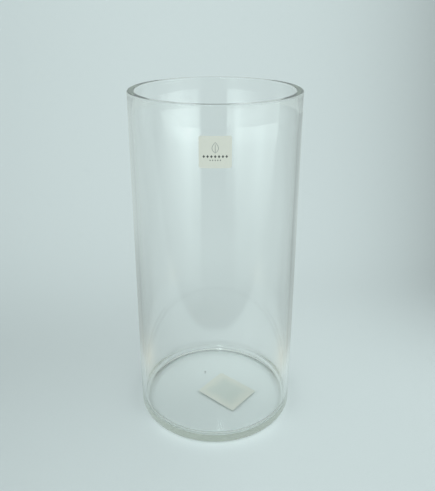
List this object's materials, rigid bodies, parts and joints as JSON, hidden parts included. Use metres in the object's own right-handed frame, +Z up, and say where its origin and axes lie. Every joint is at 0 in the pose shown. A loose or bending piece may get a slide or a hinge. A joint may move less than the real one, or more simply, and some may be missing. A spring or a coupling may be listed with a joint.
{
  "type": "cylinder vase",
  "caption": "Tall straight-sided clear glass cylinder vase with a polished thickened lip and a thick hollowed base, with a square paper label on the wall and a paper label under the base.",
  "frame": {"origin": "centre of the foot ring, on the surface that the vase stands on", "axes": "+Z up the axis of the cylinder, -Y through the middle of the front label, +X to the right when the front label faces the viewer"},
  "size_m": [0.12, 0.1202, 0.25],
  "materials": {
    "glass": "clear soda-lime glass with a faint green-grey tint, fire-polished",
    "label_paper": "cream uncoated label paper printed with a thin grey leaf over two rows of small dark lozenges",
    "base_label_paper": "cream uncoated label paper",
    "label_adhesive": "clear pressure-sensitive acrylic adhesive film"
  },
  "bodies": {
    "root": {"glass_body": "glass", "front_label": "label_paper", "front_label_adhesive": "label_adhesive", "base_label": "base_label_paper", "base_label_adhesive": "label_adhesive"}
  },
  "joints": []
}
